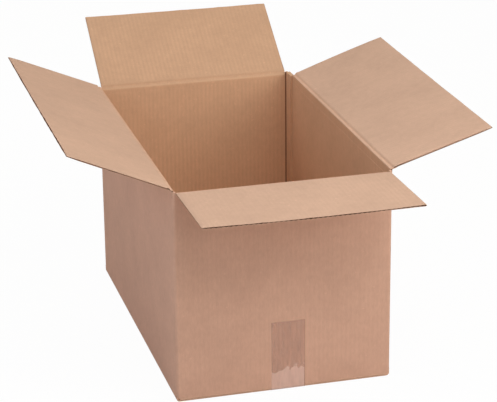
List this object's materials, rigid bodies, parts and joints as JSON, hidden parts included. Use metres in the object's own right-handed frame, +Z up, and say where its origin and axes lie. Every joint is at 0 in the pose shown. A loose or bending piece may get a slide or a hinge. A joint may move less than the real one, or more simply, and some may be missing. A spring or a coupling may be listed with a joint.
{
  "type": "corrugated box",
  "caption": "Open slotted carton of kraft corrugated board with hinged top flaps and a taped bottom seam.",
  "frame": {"origin": "middle of the carton's footprint, on the underside of the tape, which is the surface that the box stands on", "axes": "+Z up, +X across the front wall to the right as seen from the front, -Y out of the front wall, which carries the taped seam"},
  "size_m": [0.5867, 0.7649, 0.3872],
  "materials": {
    "kraft_board": "matte",
    "kraft_flap": "matte",
    "packing_tape": "satin"
  },
  "bodies": {
    "carton": {"carton_body": "kraft_board", "bottom_tape": "packing_tape"},
    "front_flap": {"flap_front": "kraft_flap"},
    "back_flap": {"flap_back": "kraft_flap"},
    "left_flap": {"flap_left": "kraft_flap"},
    "right_flap": {"flap_right": "kraft_flap"}
  },
  "joints": [
    {"name": "front_flap_fold", "type": "hinge", "parent": "carton", "child": "front_flap", "pos_m": [0, -0.2502, 0.3026], "axis": [-1, 0, 0], "range_deg": [-88.1, 178.9]},
    {"name": "back_flap_fold", "type": "hinge", "parent": "carton", "child": "back_flap", "pos_m": [0, 0.2502, 0.3026], "axis": [1, 0, 0], "range_deg": [-121.5, 145.5]},
    {"name": "left_flap_fold", "type": "hinge", "parent": "carton", "child": "left_flap", "pos_m": [-0.1532, 0, 0.306], "axis": [0, 1, 0], "range_deg": [-110.8, 156.2]},
    {"name": "right_flap_fold", "type": "hinge", "parent": "carton", "child": "right_flap", "pos_m": [0.1532, 0, 0.306], "axis": [0, -1, 0], "range_deg": [-104.5, 162.5]}
  ]
}
